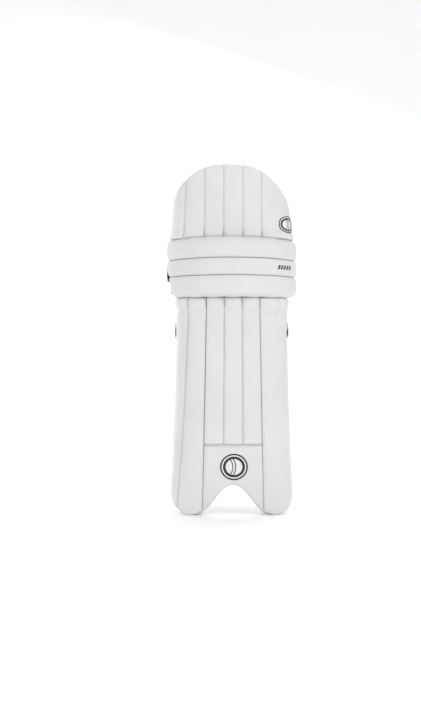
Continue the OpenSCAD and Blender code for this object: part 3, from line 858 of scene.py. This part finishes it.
def make_gussets():
    """The cloth webs that join the sections; they ride on no body."""
    for name, wall, a, b, z, reach in (("knee_web", SHIN, "shin", "knee", SHIN_TOP, 116),
                                       ("top_hat_web", HAT, "knee", "top_hat", HAT_LOW, 112)):
        rows = np.linspace(-16, 16, 18) * MM
        s, h = np.meshgrid(np.linspace(-reach, reach, 80) * MM, rows, indexing="ij")
        wave = 0.25 * MM * bumps(s, h, 14 * MM, 130)
        front, back = wall.at(s, z + h, -1.1 * MM + wave), wall.at(s, z + h, -2.3 * MM + wave)
        web = new_object(name, *grid_solid(front, back), None)
        dress(web, "white", ())
        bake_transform(web)


# ---- straps ----------------------------------------------------------------------------------

def smooth_path(points, spacing=1.2, rounds=3):
    """A plan route with its corners rounded and its points evenly spaced, in millimetres."""
    path = np.array(points, dtype=float)
    for _ in range(rounds):
        cut = np.empty((2 * len(path) - 2, 2))
        cut[0::2] = 0.75 * path[:-1] + 0.25 * path[1:]
        cut[1::2] = 0.25 * path[:-1] + 0.75 * path[1:]
        path = np.concatenate([path[:1], cut, path[-1:]])
    along = np.concatenate([[0], np.cumsum(np.linalg.norm(np.diff(path, axis=0), axis=1))])
    marks = np.linspace(0, along[-1], max(4, int(along[-1] / spacing)))
    return np.stack([np.interp(marks, along, path[:, k]) for k in (0, 1)], axis=1)


def ribbon(path, z_middle, width=WEB_W, thickness=WEB_T):
    """A flat band that follows a plan route, with rounded edges."""
    way = np.gradient(path, axis=0)
    way /= np.linalg.norm(way, axis=1)[:, None]
    out = np.stack([way[:, 1], -way[:, 0]], axis=1)
    edge, rim, face, lip = width / 2, width / 2 - 0.42 * thickness, thickness / 2, 0.2 * thickness
    across = [(w, -face) for w in np.linspace(2 - edge, edge - 2, 7)]
    lower = [(-edge, -lip), (-rim, -face)] + across + [(rim, -face), (edge, -lip)]
    profile = lower + [(-w, -t) for w, t in lower]
    vertices = [(p[0] + o[0] * t, p[1] + o[1] * t, z_middle + w)
                for p, o in zip(path, out) for w, t in profile]
    return np.array(vertices) * MM, skin(len(path), len(profile))


def arc(x, y, radius, start, end, count, side=1):
    """Points of an arc between two angles, mirrored where side is -1."""
    return [(x + side * radius * math.cos(a), y + radius * math.sin(a))
            for a in np.radians(np.linspace(start, end, count))]


def eye_route(x, y, side):
    """Plan points of a webbing loop round an upright bar, from the front layer to the back one."""
    return [(x - side * 8, y - 1.0)] + arc(x, y, EYE_R, -125, 125, 12, side) + [(x - side * 8, y + 1.0)]


def wing_tab_route(x, y):
    """Plan points of the knee's tab: up the outside of the wing, over the ring's bar and back down."""
    def layer(off):
        return [tuple(KNEE.at(s * MM, 0, off * MM)[:2] / MM) for s in (134, 142, 150, 158, 166, 174)]
    return (layer(-2.0) + [(x + 2.6, y - 9), (x - 1.2, y - 4)] + arc(x, y, EYE_R, 205, -25, 12)
            + [(x + 4.4, y - 8)] + layer(0.1)[::-1])


def side_tab_route(x, y, side_x, y_end):
    """Plan points of the calf's tab: back along the pad's side, over the ring's bar and forwards again."""
    return ([(side_x - 3, y_end), (side_x - 3, y - 14), (x - 1.8, y - 5)] + arc(x, y, EYE_R, 205, -25, 12)
            + [(x + 2.6, y - 5), (side_x - 1, y - 14), (side_x - 1, y_end)])


def corner(x_face, y_face, x, y_end, inset, side):
    """Plan points of a band whose outer face runs straight to x, turns, and runs to y_end."""
    turn = arc(x - side * TURN_R, y_face - TURN_R, TURN_R - inset, 90, 0, 8, side)
    return [(x_face, y_face - inset)] + turn + [(x - side * inset, y_end)]


def make_strap(name, facts):
    """A strap with its tab, ring and hook-and-loop fastening."""
    z = facts["z"]
    (rx, ry), (ex, ey) = facts["ring"], facts["end"]
    bar = rx - BAR_X
    route = [(bar - 28, ry - 1)] + eye_route(bar, ry, 1)[:-1] + [(bar - 8, ry + 1), (bar - 20, ry + 1)]
    route += corner(bar - 30, ry + WEB_T, ex, ey, 1, -1)
    strap = new_object(name + "_webbing_strap", *ribbon(smooth_path(route), z), name + "_strap")
    dress(strap, name, [name + "_strap"])
    bar = rx + BAR_X
    if name == "calf":
        route = side_tab_route(bar, ry, *facts["tab"])
    elif facts["tab"]:
        outer = corner(bar + 10, ry + WEB_T, *facts["tab"], 1, 1)
        inner = corner(bar + 10, ry + WEB_T, *facts["tab"], 3, 1)
        route = inner[::-1] + eye_route(bar, ry, -1) + outer
    else:
        route = wing_tab_route(bar, ry)
    tab = new_object(name + "_webbing_tab", *ribbon(smooth_path(route), z), facts["body"])
    dress(tab, name, [name + "_strap_tab"])
    make_ring(name, rx, ry, z)
    pads = (("hook", ex + WEB_T + 0.57, ey + 2, ey + 24, WEB_W - 4, name + "_strap"),
            ("loop", ex + WEB_T + 1.97, ey - 6, ey + 26, WEB_W - 2, facts["body"]))
    for part, x, y0, y1, width, body in pads:
        path = smooth_path([(x, y0), (x, (y0 + y1) / 2), (x, y1)])
        shape = ribbon(path, z, width, 1.1)
        if name == "knee" and part == "loop":
            shape = wing_wedge(x, y0, y1, z, width)
        patch = new_object(name + "_" + part + "_pad", *shape, body)
        dress(patch, "hook", ["%s_%s_patch" % (name, part)])


def wing_wedge(x, y0, y1, z, width):
    """The padded wedge on the knee's inner wing that carries the loop patch."""
    x -= 0.5
    wing = [tuple(KNEE.at(-s * MM, 0, -3 * MM)[:2] / MM) for s in np.linspace(172, 136, 8)]
    face = [(x, y) for y in np.linspace(y0, y1, 8)]
    front, rear = [], []
    for (fx, fy), (wx, wy) in zip(face[::-1], wing):
        rows = [(0.86 + 0.14 * (1 - abs(h) ** 5), z + h * width / 2) for h in np.linspace(-1, 1, 13)]
        front.append([(wx + (fx - wx) * reach, wy + (fy - wy) * reach, level) for reach, level in rows])
        rear.append([(wx, wy, level) for _, level in rows])
    return grid_solid(np.array(front) * MM, np.array(rear) * MM)


def make_ring(name, x, y, z):
    """A moulded ring: a rounded rectangle swept with a soft oval section."""
    half_w, half_h, r = BAR_X, WEB_W / 2 + 3.4, 3.2
    in_x, in_z = half_w - r, half_h - r
    turns = ((in_x, in_z, 90), (in_x, -in_z, 0), (-in_x, -in_z, -90), (-in_x, in_z, -180))
    route = np.array([point for cx, cz, a in turns for point in arc(cx, cz, r, a, a - 90, 7)])
    sides = 14
    vertices = []
    for k, (px, pz) in enumerate(route):
        way = route[(k + 1) % len(route)] - route[k - 1]
        out = np.array([-way[1], way[0]]) / np.linalg.norm(way)
        flat = abs(way[0]) / np.linalg.norm(way)
        thick = 1.55 + 0.85 * flat
        for a in np.linspace(0, 2 * math.pi, sides, endpoint=False):
            c = math.copysign(abs(math.cos(a)) ** 0.8, math.cos(a))
            d = math.copysign(abs(math.sin(a)) ** 0.8, math.sin(a))
            vertices.append((x + px + out[0] * thick * c, y + thick * d, z + pz + out[1] * thick * c))
    faces = skin(len(route), sides, closed=True)
    ring = new_object(name + "_moulded_ring", np.array(vertices) * MM, faces, name + "_ring")
    dress(ring, "ring", [name + "_ring"])
    subdivided(ring)


# ---- printed marks ---------------------------------------------------------------------------

def make_badge(name, place, radius, body, replaced=()):
    """A round printed patch. place(du, dv) gives the point at a distance across and up from its middle."""
    rings, spokes = 16, 64
    vertices, uvs = [place(0, 0)], [(0, 0)]
    for k in range(1, rings + 1):
        for i in range(spokes):
            a = 2 * math.pi * i / spokes
            u, v = k / rings * math.cos(a), k / rings * math.sin(a)
            vertices.append(place(radius * u, radius * v))
            uvs.append((u, v))
    faces = [(0, 1 + i, 1 + (i + 1) % spokes) for i in range(spokes)]
    faces += [(1 + (k - 1) * spokes + i, 1 + k * spokes + i, 1 + k * spokes + (i + 1) % spokes,
               1 + (k - 1) * spokes + (i + 1) % spokes) for k in range(1, rings) for i in range(spokes)]
    mesh = bpy.data.meshes.new(name)
    mesh.from_pydata([tuple(v) for v in vertices], [], faces)
    layer = mesh.uv_layers.new(name="flat")
    for loop in mesh.loops:
        layer.data[loop.index].uv = uvs[loop.vertex_index]
    mesh.polygons.foreach_set("use_smooth", [True] * len(mesh.polygons))
    obj = placed(name, mesh)
    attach(obj, body)
    thick = obj.modifiers.new("thickness", "SOLIDIFY")
    thick.thickness = 0.5 * MM
    thick.offset = 0
    return dress(obj, "badge", replaced)


def drape(target, wall, s0, z0, inward=False, lift=0.35 * MM):
    """Returns a place function that drops points on to a finished piece along its wall's normal."""
    bpy.context.view_layer.update()
    shape = target.evaluated_get(bpy.context.evaluated_depsgraph_get())

    def place(du, dv):
        far = -0.06 if inward else 0.09
        start = Vector(wall.at(np.array(s0 + du), z0 + dv, far))
        aim = Vector(wall.at(np.array(s0 + du), z0 + dv, 0.0)) - start
        hit, point, _, _ = shape.ray_cast(start, aim.normalized())
        return (point if hit else start + aim) - aim.normalized() * lift
    return place


def make_marks():
    """The badges, and the row of slanted dashes on the middle knee roll."""
    objects = bpy.data.objects
    make_badge("instep_roundel", drape(objects["instep_panel"], SHIN, 1 * MM, 101 * MM), 26 * MM, "shin",
               ["instep_badge"])
    make_badge("top_hat_roundel", drape(objects["top_hat_face"], HAT, 104 * MM, 583 * MM), 17 * MM,
               "top_hat")
    make_badge("lining_roundel", drape(objects["top_hat_lining"], HAT, 0.0, 640 * MM, True), 21 * MM,
               "top_hat")
    drop = drape(objects["knee_roll_middle"], KNEE, 0.0, 0.0)
    parts = []
    for k in range(5):
        s0 = (72 + 6.3 * k) * MM
        u, v = np.meshgrid(np.linspace(0, 4.0, 5) * MM, np.linspace(-4.2, 4.2, 9) * MM, indexing="ij")
        s, z = s0 + u + 0.3 * v, 496 * MM + v
        front = np.array([[drop(a, b) for a, b in zip(row_s, row_z)] for row_s, row_z in zip(s, z)])
        back = KNEE.at(s, z, 0) * 0.02 + front * 0.98
        parts.append(grid_solid(front, back))
    dashes = new_object("knee_dashes", *joined(parts), "knee")
    dress(dashes, "dark_thread")


# ---- the studio ------------------------------------------------------------------------------

LIGHTS = [                       # name, place, size in metres, power in watts
    ("key", (1.9, -1.9, 1.5), 1.0, 19),
    ("fill", (-1.6, -2.2, 1.4), 2.0, 18),
    ("back", (0.6, 1.6, 2.2), 1.8, 30),
    ("back_low", (-1.2, 1.5, 0.8), 1.5, 12),
]


def make_studio():
    """A pale floor that curves up behind, soft lights and the camera in front."""
    reach = [(-3.0, 0.0), (1.2, 0.0), (1.8, 0.05), (2.2, 0.25), (2.4, 0.6), (2.45, 1.2), (2.45, 4.0)]
    vertices = [(x, y, h) for y, h in reach for x in (-4.0, 4.0)]
    faces = [(2 * k, 2 * k + 1, 2 * k + 3, 2 * k + 2) for k in range(len(reach) - 1)]
    sweep = new_object("studio_floor", np.array(vertices), faces, None)
    look = Look("studio_paper", (0.97, 0.97, 0.97), 0.95)
    sweep.data.materials.append(look.material)
    subdivided(sweep, 3)
    world = bpy.data.worlds.new("studio")
    world.use_nodes = True
    world.node_tree.nodes["Background"].inputs[0].default_value = (1, 1, 1, 1)
    world.node_tree.nodes["Background"].inputs[1].default_value = 0.72
    bpy.context.scene.world = world
    for name, place, size, power in LIGHTS:
        light = bpy.data.lights.new(name, "AREA")
        light.energy = power
        light.size = size
        obj = placed(name, light)
        obj.location = place
        obj.rotation_euler = (Vector((0, 0, 0.35)) - Vector(place)).to_track_quat("-Z", "Y").to_euler()
    camera = bpy.data.cameras.new("camera")
    distance = 2.2
    camera.sensor_fit = "VERTICAL"
    camera.sensor_height = 36
    camera.lens = camera.sensor_height * distance / 1.44
    eye = placed("camera", camera)
    around, aside = math.radians(3.3), math.radians(1.15)
    eye.location = (-distance * math.sin(around), -distance * math.cos(around) - 40 * MM, 312 * MM)
    eye.rotation_euler = (math.radians(90), 0, aside - around)
    bpy.context.scene.camera = eye
    bpy.context.scene.view_settings.view_transform = "Standard"


make_shin_face()
make_hat_face()
make_knee_rolls()
make_linings()
make_ankle_lining()
make_hat_lining()
make_gussets()
for strap_name, strap_facts in STRAPS.items():
    make_strap(strap_name, strap_facts)
make_marks()
make_piping()
make_studio()
